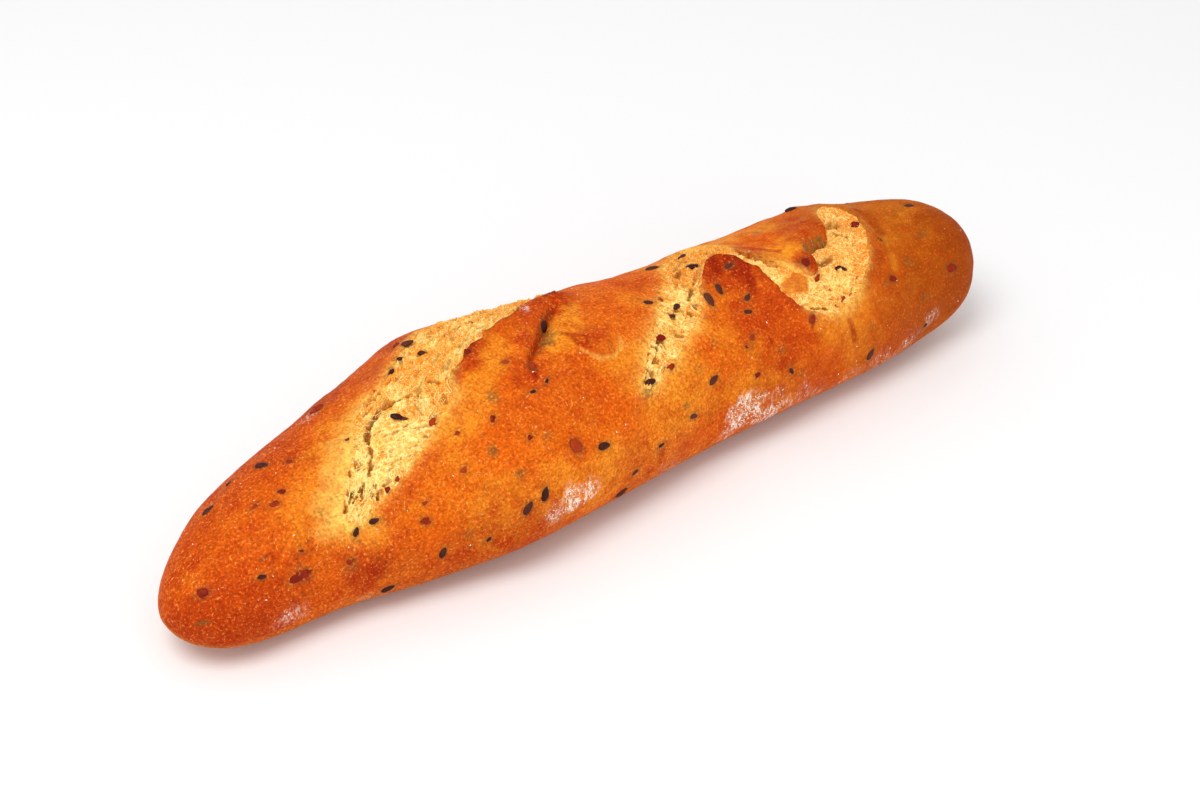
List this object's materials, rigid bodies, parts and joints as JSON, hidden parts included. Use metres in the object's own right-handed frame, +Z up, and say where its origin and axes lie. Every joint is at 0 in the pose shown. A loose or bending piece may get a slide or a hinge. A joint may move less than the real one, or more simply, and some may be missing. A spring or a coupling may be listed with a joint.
{
  "type": "baguette",
  "caption": "Short seeded baguette: a crusty loaf with slanting slashes that tore open, raised ears, rounded ends and a flat bottom.",
  "frame": {"origin": "on the flat bottom, under the middle of the loaf's length", "axes": "+X along the loaf towards its blunter end, +Z up"},
  "size_m": [0.32, 0.087, 0.0606],
  "materials": {
    "crust": "matte baked crust"
  },
  "bodies": {
    "root": {"loaf": "crust"}
  },
  "joints": []
}
